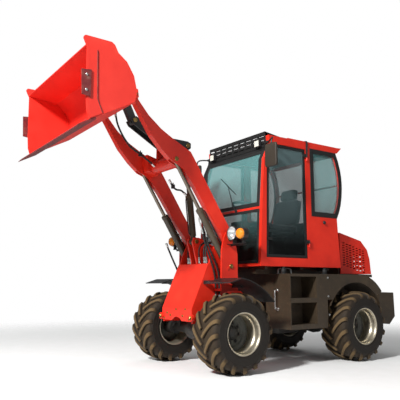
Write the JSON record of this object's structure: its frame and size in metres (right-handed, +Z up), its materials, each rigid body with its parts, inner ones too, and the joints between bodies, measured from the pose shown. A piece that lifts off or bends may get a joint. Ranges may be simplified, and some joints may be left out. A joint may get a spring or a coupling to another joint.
{
  "type": "articulated wheel loader",
  "caption": "Compact articulated wheel loader with cab, raised boom and bucket, four lugged tyres and hinged engine hood.",
  "frame": {"origin": "on the ground below the middle of the length", "axes": "+X forward towards the bucket, +Y to the left (the door side), +Z up"},
  "size_m": [4.6302, 1.66, 3.021],
  "materials": {
    "tyre": "rubber, dusty",
    "rim_paint": "silver wheel paint",
    "body_paint": "red machine paint",
    "dark_paint": "dark brown-grey paint",
    "worn_steel": "red paint worn on the edge",
    "cylinder_paint": "black cylinder paint",
    "rod_steel": "ground and plated rod",
    "driveline_cast": "painted casting",
    "black_paint": "black coat",
    "lamp_housing": "black moulding",
    "clear_lens": "clear lens",
    "amber_lens": "amber lens",
    "cab_glass": "tinted glass",
    "seat_cover": "woven cover",
    "interior_plastic": "moulded plastic"
  },
  "bodies": {
    "rear": {"rear_frame": "dark_paint", "rear_axle": "driveline_cast", "engine": "driveline_cast", "driveline": "driveline_cast", "counterweight": "dark_paint", "rear_fenders": "dark_paint", "step_boxes": "dark_paint", "engine_deck": "dark_paint", "cab_frame": "body_paint", "cab_roof": "body_paint", "roof_guard": "black_paint", "work_lamps": "lamp_housing", "cab_glass": "cab_glass", "mirrors": "lamp_housing", "seat": "seat_cover", "steering_column": "interior_plastic"},
    "front": {"front_frame": "body_paint", "front_cover": "body_paint", "front_axle": "driveline_cast", "front_fenders": "dark_paint", "headlamps": "lamp_housing", "headlamp_lenses": "clear_lens", "indicator_lenses": "amber_lens"},
    "boom": {"boom": "body_paint"},
    "lift_barrels": {"lift_barrels": "cylinder_paint"},
    "lift_rods": {"lift_rods": "rod_steel"},
    "tilt_barrel": {"tilt_barrel": "cylinder_paint"},
    "tilt_rod": {"tilt_rod": "rod_steel"},
    "bellcrank": {"bellcrank": "body_paint"},
    "tilt_link": {"tilt_link": "body_paint"},
    "bucket": {"coupler": "body_paint", "bucket": "body_paint", "cutting_edge": "worn_steel"},
    "door": {"door": "body_paint", "door_glass": "cab_glass"},
    "hood": {"hood": "body_paint"},
    "wheel_front_left": {"tyre_front_left": "tyre", "rim_front_left": "rim_paint"},
    "wheel_front_right": {"tyre_front_right": "tyre", "rim_front_right": "rim_paint"},
    "wheel_rear_left": {"tyre_rear_left": "tyre", "rim_rear_left": "rim_paint"},
    "wheel_rear_right": {"tyre_rear_right": "tyre", "rim_rear_right": "rim_paint"}
  },
  "joints": [
    {"name": "steering", "type": "hinge", "parent": "rear", "child": "front", "pos_m": [-0.36514, 0, 0.615], "axis": [0, 0, 1], "range_deg": [-30, 30]},
    {"name": "boom_lift", "type": "hinge", "parent": "front", "child": "boom", "pos_m": [0.40486, 0, 1.35], "axis": [0, -1, 0], "range_deg": [-84, 3]},
    {"name": "lift_barrels_turn", "type": "hinge", "parent": "front", "child": "lift_barrels", "pos_m": [0.38486, 0, 1.06], "axis": [0, -1, 0], "range_deg": [-76.18, 3.2]},
    {"name": "lift_rods_stroke", "type": "slide", "parent": "lift_barrels", "child": "lift_rods", "axis": [0.53, 0, 0.848], "range_m": [-0.3581, 0.0147]},
    {"name": "tilt_barrel_turn", "type": "hinge", "parent": "front", "child": "tilt_barrel", "pos_m": [0.58386, 0, 1.336], "axis": [0, -1, 0], "range_deg": [-100.57, 4.07]},
    {"name": "tilt_rod_stroke", "type": "slide", "parent": "tilt_barrel", "child": "tilt_rod", "axis": [0.113, 0, 0.9936], "range_m": [-0.0117, 0.1062]},
    {"name": "bucket_tilt", "type": "hinge", "parent": "boom", "child": "bucket", "pos_m": [1.55986, 0, 2.735], "axis": [0, 1, 0], "range_deg": [-150, 14]},
    {"name": "bellcrank_turn", "type": "hinge", "parent": "boom", "child": "bellcrank", "pos_m": [0.96486, 0, 2.36], "axis": [0, 1, 0], "range_deg": [-6.5, 64.81]},
    {"name": "tilt_link_turn", "type": "hinge", "parent": "bellcrank", "child": "tilt_link", "pos_m": [1.36986, 0, 2.58], "axis": [0, 1, 0], "range_deg": [-78.61, 7.79]},
    {"name": "door_hinge", "type": "hinge", "parent": "rear", "child": "door", "pos_m": [-0.62114, 0.59, 1.8], "axis": [0, 0, 1], "range_deg": [0, 165]},
    {"name": "hood_hinge", "type": "hinge", "parent": "rear", "child": "hood", "pos_m": [-1.28114, 0, 1.51], "axis": [0, 1, 0], "range_deg": [0, 60]},
    {"name": "front_left_wheel", "type": "hinge", "parent": "front", "child": "wheel_front_left", "pos_m": [0.53486, 0.625, 0.3935], "axis": [0, 1, 0], "continuous": true},
    {"name": "front_right_wheel", "type": "hinge", "parent": "front", "child": "wheel_front_right", "pos_m": [0.53486, -0.625, 0.3935], "axis": [0, 1, 0], "continuous": true},
    {"name": "rear_left_wheel", "type": "hinge", "parent": "rear", "child": "wheel_rear_left", "pos_m": [-1.26514, 0.625, 0.3935], "axis": [0, 1, 0], "continuous": true},
    {"name": "rear_right_wheel", "type": "hinge", "parent": "rear", "child": "wheel_rear_right", "pos_m": [-1.26514, -0.625, 0.3935], "axis": [0, 1, 0], "continuous": true}
  ],
  "couplings": [
    {"joint": "lift_barrels_turn", "follows": "boom_lift", "ratio": 0.901},
    {"joint": "lift_rods_stroke", "follows": "boom_lift", "m_per_rad": 0.24287},
    {"joint": "tilt_barrel_turn", "follows": "boom_lift", "ratio": 1.1913},
    {"joint": "tilt_rod_stroke", "follows": "bucket_tilt", "m_per_rad": -0.0398},
    {"joint": "bellcrank_turn", "follows": "bucket_tilt", "ratio": -0.4287},
    {"joint": "tilt_link_turn", "follows": "bucket_tilt", "ratio": 0.5207}
  ]
}
